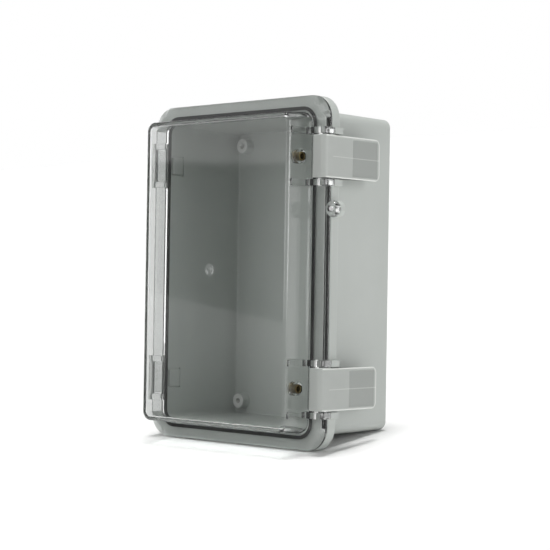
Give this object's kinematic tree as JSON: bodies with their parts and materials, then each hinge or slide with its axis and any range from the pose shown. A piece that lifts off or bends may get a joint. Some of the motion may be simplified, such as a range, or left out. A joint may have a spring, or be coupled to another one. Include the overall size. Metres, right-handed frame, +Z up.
{
  "type": "plastic distribution box",
  "caption": "Upright weatherproof plastic distribution box: a grey flanged tray with a hinged clear cover raised into a window, held shut by lever latches.",
  "frame": {"origin": "middle of the flat wall face at the back", "axes": "+Z up, +Y towards the wall, so the clear cover faces -Y; +X towards the latches"},
  "size_m": [0.1323, 0.075, 0.175],
  "materials": {
    "grey_abs": "light grey moulded plastic with a fine satin texture",
    "latch_abs": "light grey moulded plastic, satin",
    "clear_pc": "clear polycarbonate, polished",
    "gasket_rubber": "dark grey foamed seal, matt",
    "pin_steel": "drawn stainless steel",
    "insert_brass": "turned brass"
  },
  "bodies": {
    "base": {"base_box": "grey_abs", "hinge_strap_upper": "clear_pc", "hinge_strap_lower": "clear_pc", "hinge_cover_pin_upper": "pin_steel", "hinge_cover_pin_lower": "pin_steel", "hinge_base_pin_upper": "pin_steel", "hinge_base_pin_lower": "pin_steel"},
    "cover": {"cover": "clear_pc", "gasket": "gasket_rubber", "insert_upper": "insert_brass", "insert_lower": "insert_brass", "latch_pin_upper": "pin_steel", "latch_pin_lower": "pin_steel"},
    "latch_upper": {"latch_upper": "latch_abs"},
    "latch_lower": {"latch_lower": "latch_abs"}
  },
  "joints": [
    {"name": "cover_hinge", "type": "hinge", "parent": "base", "child": "cover", "pos_m": [-0.0616, -0.0582, 0], "axis": [0, 0, -1], "range_deg": [0, 180]},
    {"name": "latch_upper_pivot", "type": "hinge", "parent": "cover", "child": "latch_upper", "pos_m": [0.059, -0.0608, 0.0568], "axis": [0, 0, -1], "range_deg": [0, 95]},
    {"name": "latch_lower_pivot", "type": "hinge", "parent": "cover", "child": "latch_lower", "pos_m": [0.059, -0.0608, -0.0568], "axis": [0, 0, -1], "range_deg": [0, 95]}
  ]
}
